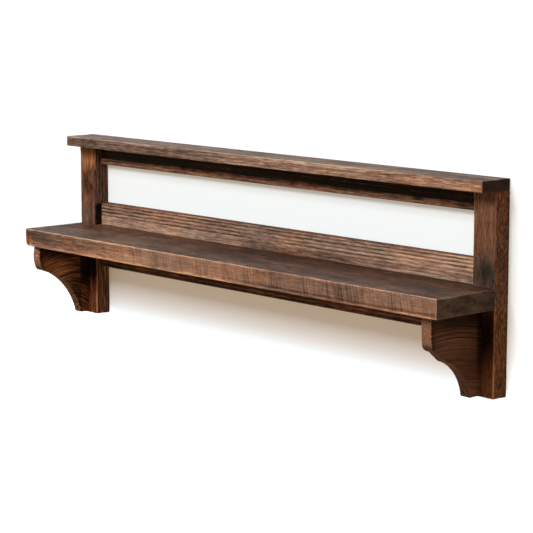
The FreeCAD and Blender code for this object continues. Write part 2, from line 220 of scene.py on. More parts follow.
def placed(name, data):
    # a new object in the scene
    item = bpy.data.objects.new(name, data)
    scene.collection.objects.link(item)
    return item


def addPiece(name, node, slot, surface, material, sharpAngle=38, **attributes):
    # the surface becomes a mesh with its own attributes, which takes the CAD node's place
    points, quads = surface
    mesh = bpy.data.meshes.new(name)
    mesh.from_pydata(points.tolist(), [], quads.tolist())
    for key, values in attributes.items():
        kind = "FLOAT_VECTOR" if values.ndim == 2 else "FLOAT"
        layer = mesh.attributes.new(key, kind, "POINT")
        layer.data.foreach_set("vector" if values.ndim == 2 else "value", values.astype(np.float32).ravel())
    mesh.shade_smooth()
    mesh.set_sharp_from_angle(angle=math.radians(sharpAngle))
    mesh.materials.append(material)
    piece = placed(name, mesh)
    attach(piece, "root")
    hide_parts(node)
    print("made", name, len(points), "points")


# Shader helpers


def addNode(tree, kind, settings=None, **values):
    # a node with its settings, its plain values set on its sockets, and its other inputs linked
    node = tree.nodes.new("ShaderNode" + kind)
    for key, value in (settings or {}).items():
        setattr(node, key, value)
    for key, value in values.items():
        socket = node.inputs[int(key[1:]) if key[0] == "_" else key]
        if isinstance(value, bpy.types.NodeSocket):
            tree.links.new(value, socket)
        else:
            socket.default_value = value
    return node


def maths(tree, operation, a, b=None, c=None):
    # one sum on up to three sockets or numbers
    given = {f"_{i}": v for i, v in enumerate((a, b, c)) if v is not None}
    return addNode(tree, "Math", {"operation": operation}, **given).outputs[0]


def summed(tree, total, *terms):
    # the total and each part times its factor
    for part, factor in terms:
        total = maths(tree, "MULTIPLY_ADD", part, factor, total)
    return total


def remap(tree, value, low, high, faintest=0.0):
    # the shader's own eased step, from the faintest value at low to 1 at high
    limits = {"From Min": low, "From Max": high, "To Min": faintest}
    return addNode(tree, "MapRange", {"interpolation_type": "SMOOTHSTEP"}, Value=value, **limits).outputs[0]


def inZone(tree, *tests):
    # the product of eased steps, each of a value between two limits
    share, *others = [remap(tree, value, *limits) for value, limits in tests]
    for step in others:
        share = maths(tree, "MULTIPLY", share, step)
    return share


def vectorSum(tree, vector, factor, extra):
    # a vector times a factor plus another vector, part by part
    settings = {"operation": "MULTIPLY_ADD"}
    return addNode(tree, "VectorMath", settings, _0=vector, _1=factor, _2=extra).outputs[0]


def stretched(tree, vector, offset, scale, detail, roughness):
    # noise on a vector that is stretched differently along and across the grain
    place = vectorSum(tree, vector, scale, offset)
    noise = dict(Vector=place, Scale=1.0, Detail=detail, Roughness=roughness)
    return addNode(tree, "TexNoise", **noise).outputs["Fac"]


def noiseMask(tree, vector, offset, noise, limits, faintest=0.0):
    # stretched noise, eased between its limits from the faintest value to 1
    return remap(tree, stretched(tree, vector, offset, *noise), *limits, faintest)


def mixColors(tree, share, *colors):
    # from the first colour to the second by the share; each is a socket or three linear values
    first, second = [c if isinstance(c, bpy.types.NodeSocket) else (*c, 1) for c in colors]
    return addNode(tree, "Mix", {"data_type": "RGBA"}, _0=share, _6=first, _7=second).outputs[2]


def linearColor(rgb):
    # a screen colour out of 255 as linear light
    c = np.array(rgb) / 255
    return np.where(c < 0.04045, c / 12.92, ((c + 0.055) / 1.055) ** 2.4)


def newMaterial(name):
    # a material and its emptied node tree
    material = bpy.data.materials.new(name)
    material.use_nodes = True
    material.node_tree.nodes.clear()
    return material, material.node_tree


def coated(tree, color, **values):
    # a principled surface of that colour, joined to the material's output
    shader = addNode(tree, "BsdfPrincipled", **{"Base Color": color}, **values)
    addNode(tree, "OutputMaterial", Surface=shader.outputs[0])


def newGroup(name, inputs, outputs):
    # a shader group with a socket of the given kind for each name
    group = bpy.data.node_groups.new(name, "ShaderNodeTree")
    for direction, sockets in (("INPUT", inputs), ("OUTPUT", outputs)):
        for label, kind in sockets.items():
            group.interface.new_socket(label, in_out=direction, socket_type=f"NodeSocket{kind}")
    return group, group.nodes.new("NodeGroupInput").outputs, group.nodes.new("NodeGroupOutput").inputs


def placeGroup(tree, group, **values):
    # a shared group with its inputs linked or set
    return addNode(tree, "Group", {"node_tree": group}, **values).outputs


# Wood figure, saw marks, worn arrises and stain, which every board shares
# Noise is its scale per metre along, across and into the board, then its detail and its roughness

woodFigures = dict(
    Streaks=(((6, 170, 170), 3.0, 0.6), (0.34, 0.66)),
    Fibres=(((48, 460, 460), 3.0, 0.65), (0.36, 0.64)),
    Blotches=(((11, 30, 30), 2.0, 0.5), (0.33, 0.67)),
    Pores=(((130, 820, 820), 1.0, 0.5), (0.56, 0.68)),
)
ringFigure = dict(perMetre=165.0, wander=((4, 26, 26), 2.0, 0.5), wanderBy=7.0, line=(0.0, 0.24))


def makeWoodFigure():
    # four figures are eased noise on the grain vector, and rings a zigzag across it that wanders with noise
    outputs = dict.fromkeys((*woodFigures, "Rings"), "Float")
    tree, given, out = newGroup("woodFigure", dict(Grain="Vector", Offset="Vector"), outputs)
    grain, offset = given["Grain"], given["Offset"]
    for label, (noise, limits) in woodFigures.items():
        tree.links.new(noiseMask(tree, grain, offset, noise, limits), out[label])
    o = named(**ringFigure)
    across = addNode(tree, "SeparateXYZ", Vector=grain).outputs["Y"]
    wander = maths(tree, "MULTIPLY", stretched(tree, grain, offset, *o.wander), o.wanderBy)
    zigzag = maths(tree, "PINGPONG", summed(tree, wander, (across, o.perMetre)), 0.5)
    tree.links.new(remap(tree, zigzag, *o.line), out["Rings"])
    return tree


sawFigure = dict(
    lean=0.2,
    scratches=(((330, 14, 14), 3.0, 0.62), (0.36, 0.64)), scratchShare=0.7,
    coarse=(((110, 9, 9), 2.0, 0.5), (0.36, 0.64)), coarseShare=0.3,
    bands=(((24, 6, 6), 2.0, 0.5), (0.36, 0.6), 0.4),
)


def makeSawMarks():
    # scratches that run down the face across the grain, leaning a little, in stronger and weaker bands
    o = named(**sawFigure)
    tree, given, out = newGroup("sawMarks", dict(Grain="Vector", Offset="Vector"), dict(Mask="Float"))
    x, y, z = addNode(tree, "SeparateXYZ", Vector=given["Grain"]).outputs
    lean = summed(tree, x, (y, o.lean))
    grain = addNode(tree, "CombineXYZ", X=lean, Y=y, Z=z).outputs[0]
    noises = (o.scratches, o.coarse, o.bands)
    scratches, coarse, bands = (noiseMask(tree, grain, given["Offset"], *noise) for noise in noises)
    both = maths(tree, "MULTIPLY", coarse, o.coarseShare)
    both = summed(tree, both, (scratches, o.scratchShare))
    tree.links.new(maths(tree, "MULTIPLY", both, bands), out["Mask"])
    return tree


wornFigure = dict(patches=((28, 90, 90), 4.0, 0.65), patchShare=1.1, limits=(0.3, 0.8))


def makeWornEdge():
    # the rim attribute, broken up by noise, says where the stain has rubbed off an arris
    o = named(**wornFigure)
    inputs = dict(Rim="Float", Grain="Vector", Offset="Vector")
    tree, given, out = newGroup("wornEdge", inputs, dict(Mask="Float"))
    patches = stretched(tree, given["Grain"], given["Offset"], *o.patches)
    broken = summed(tree, given["Rim"], (maths(tree, "SUBTRACT", patches, 0.5), o.patchShare))
    tree.links.new(remap(tree, broken, *o.limits), out["Mask"])
    return tree


stainShades = dict(
    cool=[(15, 10, 7), (47, 35, 28), (97, 76, 64), (146, 119, 102), (192, 163, 141)],
    warm=[(18, 8, 3), (56, 28, 13), (111, 66, 39), (160, 107, 71), (210, 156, 111)],
)


def makeStain():
    # one value from dark to light picks an evenly spaced shade, and warmth turns it from grey to red
    inputs = dict(Value="Float", Warmth="Float")
    tree, given, out = newGroup("walnutStain", inputs, dict(Color="Color"))
    ramps = []
    for shades in stainShades.values():
        ramp = addNode(tree, "ValToRGB", Fac=given["Value"])
        stops = ramp.color_ramp.elements
        while len(stops) < len(shades):
            stops.new(0.5)
        for count, (stop, shade) in enumerate(zip(stops, shades)):
            stop.position = count / (len(shades) - 1)
            stop.color = (*linearColor(shade), 1)
        ramps.append(ramp.outputs["Color"])
    tree.links.new(mixColors(tree, given["Warmth"], *ramps), out["Color"])
    return tree


woodFigure = makeWoodFigure()
sawMarks = makeSawMarks()
wornEdge = makeWornEdge()
walnutStain = makeStain()
print("shader groups made")

# The finish that boards share, which a board's own dictionary may change
boardFinish = dict(
    offset=(0.0, 0.0, 0.0), base=0.48, streaks=0.13, rings=0.06, fibres=0.26, blotches=0.1, pores=0.12,
    sawing=0.27, sawnCalm=0.55, sawnCool=0.3, sawnDepth=0.8, wear=0.3, wornWarmth=0.3, wornRough=0.1,
    warmth=0.36, blotchWarmth=0.35, bump=0.4, bumpDepth=0.4 * mm, fibreHeight=0.5,
    roughness=0.4, fibreRough=0.16, gloss=0.08,
)


def woodMaterial(name, changes):
    # lightness is a base plus the tone attribute and each kind of figure, and worn arrises are lighter
    look = named(**{**boardFinish, **changes})
    material, tree = newMaterial(name)
    keys = ("grain", "tone", "warm", "rim", "sawn", "plain")
    reads = {key: addNode(tree, "Attribute", {"attribute_name": key}).outputs for key in keys}
    tone, warm, rim, sawn, plain = (reads[key]["Fac"] for key in keys[1:])
    given = dict(Grain=reads["grain"]["Vector"], Offset=look.offset)
    figure = placeGroup(tree, woodFigure, **given)
    saw = maths(tree, "MULTIPLY", placeGroup(tree, sawMarks, **given)["Mask"], sawn)
    worn = placeGroup(tree, wornEdge, Rim=rim, **given)["Mask"]
    # sawing hides the long figure, and so does the plain attribute
    calm = maths(tree, "SUBTRACT", summed(tree, 1.0, (sawn, -look.sawnCalm)), plain)
    value = maths(tree, "ADD", tone, look.base)
    for label in ("Streaks", "Rings", "Fibres", "Blotches"):
        part = maths(tree, "MULTIPLY", maths(tree, "SUBTRACT", figure[label], 0.5), calm)
        value = summed(tree, value, (part, getattr(look, label.lower())))
    value = summed(tree, value, (figure["Pores"], -look.pores), (saw, -look.sawing), (worn, look.wear))
    warmth = maths(tree, "ADD", warm, look.warmth)
    blotches = maths(tree, "SUBTRACT", figure["Blotches"], 0.5)
    terms = (blotches, look.blotchWarmth), (saw, -look.sawnCool), (worn, look.wornWarmth)
    warmth = summed(tree, warmth, *terms)
    color = placeGroup(tree, walnutStain, Value=value, Warmth=warmth)["Color"]
    fibres = figure["Fibres"]
    height = summed(tree, figure["Streaks"], (fibres, look.fibreHeight), (saw, -look.sawnDepth))
    bump = addNode(tree, "Bump", Height=height, Strength=look.bump, Distance=look.bumpDepth)
    rough = summed(tree, look.roughness, (fibres, look.fibreRough), (worn, look.wornRough))
    coated(tree, color, Roughness=rough, Normal=bump.outputs[0], **{"Specular IOR Level": look.gloss})
    return material


# Boards' settings: arris is a radius, its unevenness and lumps per metre; brushing, sawing and hollows are
# a depth and noise per metre; a seed may follow. tone, warm, plain, brushed and rim weigh named zones

# Main shelf: thick sawn board, notched round the posts

shelfSettings = dict(
    steps=(3 * mm, 1.7 * mm, 1.3 * mm), bands=(10 * mm, 4 * mm, 4 * mm), arris=(1.8 * mm, 0.45, 22, 3),
    cornerRadii=(2.2 * mm, 4.6 * mm), cornerUp=(9 * mm, 3 * mm), cornerAlong=(26 * mm, 5 * mm),
    brushing=(0.2 * mm, (7, 160, 160), 11), brushed=dict(top=1.0, front=0.6, sawn=-0.5),
    sawing=(0.35 * mm, (250, 16, 16), 5), kerfLean=0.16, hollows=(0.4 * mm, (6, 9, 9), 21),
    mottle=((1, 60, 80), 27), rimWidth=1.7 * mm, rimBack=1 * mm, rimLeft=0.35, rimLow=0.42,
    # places along the board, up its front or ahead of the rail
    sawnFrom=(-0.3, -0.14), cleanStrip=(5 * mm, 3 * mm), stripNarrows=(-0.2, 0.3), stripClean=0.9,
    stripBlend=0.8 * mm, rimLeftFrom=(0.2, -0.1), rimLowUp=(5 * mm, 2 * mm),
    redEnd=14 * mm, redBlend=1 * mm, redLine=1.6 * mm, greyed=(-0.41, 0.06), greyedUp=(6 * mm, 16 * mm),
    paleFoot=(-0.175, 0.035), paleFootUp=(18 * mm, 12 * mm), paleFrom=(-0.31, -0.25), paleTo=(0.06, 0.0),
    dimmed=(0.2, 0.06), scored=(2 * mm, 1.5 * mm), scoredFrom=(-0.05, 0.2), leftTop=(0.0, -0.25),
    forwardFrom=8 * mm, railCorner=3 * mm, railShade=(5 * mm, 10 * mm), railShadeFrom=(-0.05, 0.08),
    tone=dict(
        front=0.07, sawn=0.16, strip=0.07, greyed=-0.09, redEnd=-0.02, paleFoot=0.13, paleMiddle=0.05,
        dimmed=-0.04, scored=-0.2, top=-0.16, forwardTop=0.2, leftTop=0.1, railCorner=-0.13,
        railShade=-0.09, rightEnd=-0.09, mottled=-0.09, underside=-0.1,
    ),
    warm=dict(
        front=0.12, strip=-0.05, greyed=-0.4, redEnd=0.6, top=0.24, forwardTop=-0.56, leftEnd=0.4,
        rightEnd=-0.3, mottled=0.5,
    ),
    plain=dict(rightEnd=0.35, top=-0.3),
    rim=dict(strip=0.26, redLine=0.9),
    finish=dict(base=0.46, gloss=0.16),
)


def makeShelf():
    # the box less the notches and the rail's rebate, rounded, and pressed in by brush, saw and hollows
    o = named(**shelfSettings)
    low, high = corners("shelf_board")
    postLow, postHigh = corners("left_post")
    notch, postFront = postHigh[0], postLow[1]
    railFront, railFoot = corners("lower_rail")[0][1:]
    cuts = [
        ((-farOut, postFront, -farOut), (notch, farOut, farOut)),
        ((-notch, postFront, -farOut), (farOut, farOut, farOut)),
        ((-farOut, railFront, railFoot), (farOut, farOut, farOut)),
    ]
    extras = ((notch, -notch), (postFront, railFront), (railFoot,))
    points, quads = boardShell("shelf_board", o.steps, o.bands, extras, cuts)
    x, y, z = points.T
    along, up = x - low[0], z - low[2]
    # arrises wear unevenly, and the left end's corners have been knocked round, the lower one most
    knocked = between(*o.cornerRadii, ease(*o.cornerUp, up))
    radius = between(unevenArris(points, *o.arris), knocked, ease(*o.cornerAlong, along))
    skin, outward, edge = wornSkin(points, low, high, radius)
    leftEnd, front, _, rightEnd, _, top = faces(outward)
    # saw marks come in over the first third of the front, above a clean strip that narrows to the right
    stripTop = between(*o.cleanStrip, ease(*o.stripNarrows, x))
    strip = front * ease(stripTop + o.stripBlend, stripTop - o.stripBlend, up)
    sawn = (front - o.stripClean * strip) * ease(*o.sawnFrom, x)
    # painted sheen makes the top paler and greyer to the front and left; painted shade darkens it by the
    # rail
    ahead = railFront - y
    # the front is grey at the upper left, paler further along its foot, and redder at its left end
    zones = dict(
        front=front, top=top, leftEnd=leftEnd, rightEnd=rightEnd, underside=outward[:, 2] < -0.5,
        strip=strip, sawn=sawn, mottled=layeredNoise(points, *o.mottle) * rightEnd,
        redEnd=front * ease(o.redEnd + o.redBlend, o.redEnd - o.redBlend, along),
        redLine=front * bell(along, o.redEnd, o.redLine),
        greyed=front * bell(x, *o.greyed) * ease(*o.greyedUp, up),
        paleFoot=front * bell(x, *o.paleFoot) * ease(*o.paleFootUp, up),
        paleMiddle=front * ease(*o.paleFrom, x) * ease(*o.paleTo, x),
        dimmed=front * bell(x, *o.dimmed),
        scored=front * bell(up - stripTop, *o.scored) * ease(*o.scoredFrom, x),
        # painted sheen on the top towards the front and the left, and painted shade beside the rail
        forwardTop=ease(o.forwardFrom, railFront - low[1], ahead) * top,
        leftTop=ease(*o.leftTop, x) * top,
        railCorner=bell(ahead, 0, o.railCorner) * top,
        railShade=bell(ahead, *o.railShade) * ease(*o.railShadeFrom, x) * top,
    )
    leaning = np.stack([x + o.kerfLean * z, y, z], axis=1)
    depth = noiseDepth(points, *o.brushing) * blended(o.brushed, zones)
    depth += noiseDepth(leaning, *o.sawing) * sawn
    depth += noiseDepth(points, *o.hollows) * (front + leftEnd + rightEnd)
    skin = pressedIn(skin, outward, depth)
    # stain has rubbed off the arrises in front of the posts, more to the left and less along the foot
    rim = rubbed(edge, o.rimWidth, front + top + rightEnd) * (y < postFront + o.rimBack)
    rim *= 1 + o.rimLeft * ease(*o.rimLeftFrom, x)
    rim *= 1 - o.rimLow * ease(*o.rimLowUp, up)
    # a painted highlight line runs up the front at the inner edge of the red left end
    rim += blended(o.rim, zones)
    grain = longGrain(points, rightEnd > 0.5)
    piece = ("shelfPlank", "shelf_board", "shelf_wood", (skin, quads), woodMaterial("shelfStain", o.finish))
    addPiece(*piece, grain=grain, rim=rim, sawn=sawn, **stained(zones, o))


makeShelf()

# Top ledge: thinner board on the posts and the upper rail

ledgeSettings = dict(
    steps=(3 * mm, 1.8 * mm, 1.4 * mm), bands=(3.5 * mm,) * 3, arris=(1.9 * mm, 0.4, 18, 33),
    backArris=0.6 * mm, backFrom=-10 * mm, brushing=(0.25 * mm, (6, 170, 170), 37),
    hollows=(0.4 * mm, (7, 10, 10), 39), rimWidth=2 * mm, rimBack=-8 * mm, rimRight=0.6, sawn=0.25,
    # places along the board
    fromLeft=(-0.35, -0.1), lighter=(-0.09, 0.01), toRight=(0.1, 0.4),
    # top weights paint a pale grey sheen on the ledge's top
    tone=dict(
        front=-0.01, leftFront=0.05, lightFront=0.2, rightFront=-0.05, top=0.22, rightTop=-0.06,
        rightEnd=-0.34,
    ),
    warm=dict(front=-0.53, lightFront=0.5, rightFront=0.15, top=-0.58, rightEnd=0.6, rim=-0.25),
    plain=dict(rightEnd=0.5),
    finish=dict(base=0.48, offset=(3.1, 1.7, 0.4), streaks=0.2, fibres=0.36, wear=0.2, gloss=0.16),
)


def makeLedge():
    # the box with rounded arrises, crisp along the wall, pressed in by brushing and hollows
    o = named(**ledgeSettings)
    low, high = corners("top_ledge")
    points, quads = boardShell("top_ledge", o.steps, o.bands)
    x, y, _ = points.T
    radius = np.where(y > o.backFrom, o.backArris, unevenArris(points, *o.arris))
    skin, outward, edge = wornSkin(points, low, high, radius)
    leftEnd, front, _, rightEnd, _, top = faces(outward)
    depth = noiseDepth(points, *o.brushing) * (top + front)
    depth += noiseDepth(points, *o.hollows) * (front + leftEnd + rightEnd)
    skin = pressedIn(skin, outward, depth)
    # the front is lighter and redder from the middle on, and a little darker again at the right; the top's
    # paler, greyer tone is a painted sheen
    toRight = ease(*o.toRight, x)
    rim = rubbed(edge, o.rimWidth, front + top + leftEnd) * (y < o.rimBack)
    rim *= 1 - o.rimRight * toRight
    zones = dict(
        front=front, top=top, rightEnd=rightEnd, rim=rim, leftFront=ease(*o.fromLeft, x) * front,
        lightFront=ease(*o.lighter, x) * front, rightFront=toRight * front, rightTop=toRight * top,
    )
    grain = longGrain(points, rightEnd > 0.5)
    piece = ("ledgePlank", "top_ledge", "ledge_wood", (skin, quads), woodMaterial("ledgeStain", o.finish))
    addPiece(*piece, grain=grain, rim=rim, sawn=o.sawn * front, **stained(zones, o))


makeLedge()

# Posts: full-height uprights, mortised behind for the keyhole plates, with heights from the shelf's top
# A knot is its height, place across, size and darkness; a patch its height, size, tone and warmth

postSettings = dict(
    steps=(1.5 * mm, 1.5 * mm, 1.9 * mm), bands=(3.5 * mm,) * 3, arris=(2 * mm, 0.5, 25),
    topArris=0.6 * mm, backArris=0.5 * mm, crispWithin=10 * mm,
    plateDepth=2 * mm, roomDepth=10 * mm, roomWidth=12 * mm, roomBelow=11.5 * mm, roomAbove=11 * mm,
    brushing=(0.3 * mm, (7, 170, 170)), brushed=dict(front=1.0, inner=0.8, outer=0.8),
    waver=2 * mm, waverScale=(14, 20, 20), slantAt=(0.066, 0.02), flecked=(2.4, 0.5, 0.5),
    rimWidth=1.8 * mm, rimBack=-12 * mm, rimRight=0.65, rimRightFrom=(0.01, -0.05), edgeWidth=1.6 * mm,
    under=(-0.03, -0.06), sunkTop=(-0.02, -0.035), sunkFoot=(-0.105, -0.07),
    gatheredTop=(0.036, 0.03), gatheredFoot=(-0.004, 0.0), wallEdge=(-3.5 * mm, -1 * mm),
    stripes=(-22 * mm, -17.5 * mm, -11 * mm, -6 * mm), stripeWidth=1.1 * mm, stripeWave=1 * mm,
    lowStripeWidth=1.2 * mm, lowStripeShift=6 * mm, patchPlain=0.3,
    tone=dict(knots=-1.0, gathered=-0.5, upperInner=0.07, wallEdge=-0.25, stripes=-0.14),
    warm=dict(front=0.25, outer=0.35, inner=-0.08, knots=-1.5, under=0.5),
    plain=dict(outer=-0.15, inner=-0.2),
)
postLooks = dict(
    left=dict(
        seed=51, slant=0.7, worn=0.1,
        knots=[
            (0.085, 0.006, 0.004, 0.2), (0.078, -0.009, 0.004, 0.16), (0.067, -0.005, 0.006, 0.22),
            (0.062, 0.01, 0.004, 0.2), (0.053, 0.002, 0.005, 0.2), (0.02, -0.004, 0.004, 0.12),
        ],
        patches=[
            (0.107, 0.014, 0.2, 0.5), (0.06, 0.02, -0.07, 0.1),
            (0.015, 0.02, 0.05, -0.3), (-0.13, 0.03, 0.12, 0.4),
        ],
        tone=dict(edgeLine=-0.16, lowFront=-0.15, sunk=-0.28, lowStripes=-0.12),
        finish=dict(base=0.43, offset=(1.3, 2.3, 0.6), streaks=0.2, rings=0.12),
    ),
    right=dict(
        seed=71, slant=0.0, worn=1.0,
        knots=[(0.02, 0.004, 0.011, 0.12), (0.012, 0.008, 0.005, -0.05)],
        patches=[(0.018, 0.024, -0.14, -0.5), (-0.135, 0.03, 0.05, 0.0)],
        tone=dict(front=0.05, inner=-0.01, outer=-0.01, lowFront=-0.205, sunk=-0.22, lowStripes=-0.04),
        plain=dict(front=0.55, lowFront=0.275),
        finish=dict(base=0.43, offset=(2.6, 2.3, 0.8), pores=0.16, fibres=0.38, streaks=0.08, blotches=0.05),
    ),
)


def makePost(side):
    # the box less the plate's seat and the screw head's room, crisp at the top and the wall, and brushed
    o, own = named(**postSettings), named(**postLooks[side])
    seed = own.seed
    low, high = corners(f"{side}_post")
    plateLow, plateHigh = corners(f"{side}_hanger_plate")
    middle = (low[0] + high[0]) / 2
    plateLow[1], plateHigh[1] = -o.plateDepth, farOut
    roomLow = (middle - o.roomWidth / 2, -o.roomDepth, plateLow[2] + o.roomBelow)
    roomHigh = (middle + o.roomWidth / 2, farOut, plateHigh[2] - o.roomAbove)
    cuts = [(plateLow, plateHigh), (roomLow, roomHigh)]
    across, _, upright = zip(plateLow, plateHigh, roomLow, roomHigh)
    extras = (across, (-o.plateDepth, -o.roomDepth), upright)
    points, quads = boardShell(f"{side}_post", o.steps, o.bands, extras, cuts)
    x, y, z = points.T
    radius = unevenArris(points, *o.arris, seed)
    radius = np.where(y > -o.crispWithin, o.backArris, radius)
    radius = np.where(z > high[2] - o.crispWithin, o.topArris, radius)
    skin, outward, edge = wornSkin(points, low, high, radius)
    left, front, _, right, _, _ = faces(outward)
    inner, outer = (left, right) if middle > 0 else (right, left)
    # grain runs up the post, swerves round knots and slants at one height; the outer side has short flecks
    local = np.stack([z, x - middle, y], axis=1)
    bend, dark = knotField(local[:, 0], local[:, 1], own.knots)
    slant = own.slant * bell(z, *o.slantAt) * front * (z - o.slantAt[0])
    grain = local.copy()
    grain[:, 1] += bend + o.waver * layeredNoise(local, o.waverScale, seed + 5) + y + slant
    grain += grain * np.array(o.flecked) * outer[:, None]
    # painted shade darkens the inner side's recess just above the shelf, and stripes run up that side;
    # the front has fainter stripes below the shelf, where it is redder and has painted shade, deepest just
    # under it
    under = ease(*o.under, z)
    wave = o.stripeWave * layeredNoise(local, (9, 1, 1), seed + 7)
    stripes = sum(bell(y + wave, place, o.stripeWidth) for place in o.stripes)
    lowPlaces = [-place - o.lowStripeShift for place in o.stripes]
    lowStripes = sum(bell(x - middle + wave, place, o.lowStripeWidth) for place in lowPlaces)
    zones = dict(
        front=front, inner=inner, outer=outer, under=under, knots=dark * front,
        # painted shade in the inner side's recess just above the shelf
        gathered=inner * ease(*o.gatheredTop, z) * ease(*o.gatheredFoot, z),
        upperInner=inner * (1 - under),
        wallEdge=(inner + outer) * ease(*o.wallEdge, y),
        edgeLine=rubbed(edge, o.edgeWidth, front) * (1 - under),
        # painted shade on the front below the shelf, deepest just under it
        lowFront=under * front,
        sunk=front * ease(*o.sunkTop, z) * ease(*o.sunkFoot, z),
        stripes=stripes * inner, lowStripes=lowStripes * under * front,
    )
    depth = noiseDepth(grain, *o.brushing, seed + 2) * blended(o.brushed, zones)
    skin = pressedIn(skin, outward, depth)
    rim = rubbed(edge, o.rimWidth, front + inner + outer) * (y < o.rimBack)
    rim *= between(own.worn, 1, under)
    rim *= 1 + (ease(*o.rimRightFrom, z) - o.rimRight) * (x > middle)
    shades = stained(zones, o, own)
    for height, size, lift, redder in own.patches:
        patch = bell(z, height, size) * front
        shades["tone"] += lift * patch
        shades["warm"] += redder * patch
        shades["plain"] += o.patchPlain * patch
    material = woodMaterial(f"{side}PostStain", own.finish)
    piece = (f"{side}Upright", f"{side}_post", "post_wood", (skin, quads), material)
    addPiece(*piece, grain=grain, rim=rim, sawn=0 * x, **shades)


for side in postLooks:
    makePost(side)

# Rails between the posts: deeply brushed boards
# Grooves are heights as shares of the rail's own, and a knot is its place along and up, size and darkness

railSettings = dict(
    steps=(3.2 * mm, 1.8 * mm, 0.75 * mm), bands=(2.5 * mm,) * 3, arris=(1.6 * mm, 0.4, 25),
    crispArris=0.4 * mm, crispWithin=6 * mm, rimWidth=1.8 * mm, brushing=(0.25 * mm, (6, 190, 190)),
    driftScale=(4, 5, 5), grooveWidth=1.05 * mm, grooveFade=(-0.8, -0.1), grooveLeast=0.3, grooveFoot=0.6,
    lowGrooves=0.4, lowFrom=(0.3, 0.0), lowFade=(0.45, 0.55), patchGrooves=0.6,
    # places along the rail, and up it as shares of its height
    rightward=(-0.1, 0.4), upperPart=(0.25, 0.36), footPart=(0.55, 0.25),
    dullFrom=(-0.16, -0.02), dullTo=(0.12, 0.28), dullRight=0.55, paleLeft=0.25,
    tone=dict(knots=-1.0, top=0.06, greyPatch=-0.07),
    warm=dict(knotted=-1.2, top=0.3, greyPatch=-0.4),
)
railLooks = dict(
    lower=dict(
        seed=91, grooves=[0.99, 0.9, 0.765, 0.625, 0.485, 0.35, 0.225], lowLines=1.0, grooveDepth=0.8 * mm,
        drift=0.6 * mm, worn=1.0, greyPatch=(-0.035, 0.03), knots=[(0.395, 0.004, 0.004, 0.15)],
        tone=dict(front=0.305, rightward=0.11, grooves=-0.42, dullFoot=-0.24), warm=dict(front=-0.08),
        finish=dict(base=0.46, offset=(2.9, 0.8, 1.1), streaks=0.08, rings=0.0, fibres=0.24),
    ),
    upper=dict(
        seed=111, grooves=[0.9, 0.72, 0.55, 0.4, 0.22], lowLines=0.0, grooveDepth=0.5 * mm,
        drift=1.4 * mm, worn=0.2, greyPatch=None,
        knots=[(-0.2, 0.108, 0.005, 0.25), (0.12, 0.112, 0.005, 0.2), (0.3, 0.106, 0.006, 0.2)],
        # its dark upper part is painted shade under the ledge
        tone=dict(front=0.08, rightward=-0.02, grooves=-0.14, upperPart=-0.4), warm=dict(front=0.08),
        finish=dict(base=0.43, offset=(4.2, 0.8, 1.4), streaks=0.26),
    ),
    apron=dict(
        seed=131, grooves=[0.15], lowLines=0.0, grooveDepth=0.1 * mm,
        drift=1.4 * mm, worn=0.5, greyPatch=None, knots=[],
        # the apron's darker front is painted shade under the shelf
        tone=dict(front=-0.2, rightward=0.16, grooves=0.45), warm=dict(front=0.2),
        finish=dict(base=0.42, offset=(5.1, 0.8, 1.7)),
    ),
)


def makeRail(kind):
    # the box, crisp at its ends and the wall, with its front pressed in by brushing and by grooves
    o, own = named(**railSettings), named(**railLooks[kind])
    seed = own.seed
    low, high = corners(f"{kind}_rail")
    points, quads = boardShell(f"{kind}_rail", o.steps, o.bands)
    x, y, z = points.T
    height = high[2] - low[2]
    atEnd = np.minimum(x - low[0], high[0] - x) < o.crispWithin
    radius = unevenArris(points, *o.arris, seed)
    radius = np.where(atEnd | (y > -o.crispWithin), o.crispArris, radius)
    skin, outward, edge = wornSkin(points, low, high, radius)
    _, front, _, _, _, top = faces(outward)
    bend, dark = knotField(x, z, own.knots)
    drift = own.drift * layeredNoise(points, o.driftScale, seed + 3)
    level = (z + bend + drift - low[2]) / height
    patch = bell(x, *own.greyPatch) if own.greyPatch else 0 * x
    # soft bands between the growth lines are brushed out into grooves that come and go along the board,
    # weaker towards the foot, and with lowLines the lowest come in only towards the right
    groove = 0 * x
    for count, middle in enumerate(own.grooves):
        walk = np.stack([x, 0 * x + 3.7 * count, 0 * x], axis=1)
        fade = ease(*o.grooveFade, layeredNoise(walk, (7, 1, 1), seed + 9, 2))
        fade = between(o.grooveLeast, 1, fade)
        if middle < o.lowGrooves:
            fade *= 1 - own.lowLines * (o.lowFade[0] + o.lowFade[1] * ease(*o.lowFrom, x))
        fade *= between(o.grooveFoot, 1, middle)
        groove += fade * bell(level, middle, o.grooveWidth / height)
    groove *= 1 - o.patchGrooves * patch
    grain = np.stack([x, z + bend + drift + y, y], axis=1)
    depth = (noiseDepth(grain, *o.brushing, seed + 2) + own.grooveDepth * groove) * front
    skin = pressedIn(skin, outward, depth)
    rim = own.worn * rubbed(edge, o.rimWidth, front) * (~atEnd)
    # the foot is dull in the middle, less so to the right, and a little paler to the left
    fromLeft = ease(*o.dullFrom, x)
    dull = fromLeft * (1 - o.dullRight * ease(*o.dullTo, x)) - o.paleLeft * (1 - fromLeft)
    zones = dict(
        front=front, top=top, knotted=dark, knots=dark * front, grooves=groove * front,
        greyPatch=patch * front,
        rightward=ease(*o.rightward, x) * front,
        # painted shade under the ledge on the upper part of the rail
        upperPart=ease(*o.upperPart, level) * front,
        dullFoot=ease(*o.footPart, level) * dull * front,
    )
    material = woodMaterial(f"{kind}RailStain", own.finish)
    piece = (f"{kind}RailBoard", f"{kind}_rail", "rail_wood", (skin, quads), material)
    addPiece(*piece, grain=grain, rim=rim, sawn=0 * x, **stained(zones, o, own))


for kind in railLooks:
    makeRail(kind)

# Corbels: brackets sawn to a scroll, each a little different

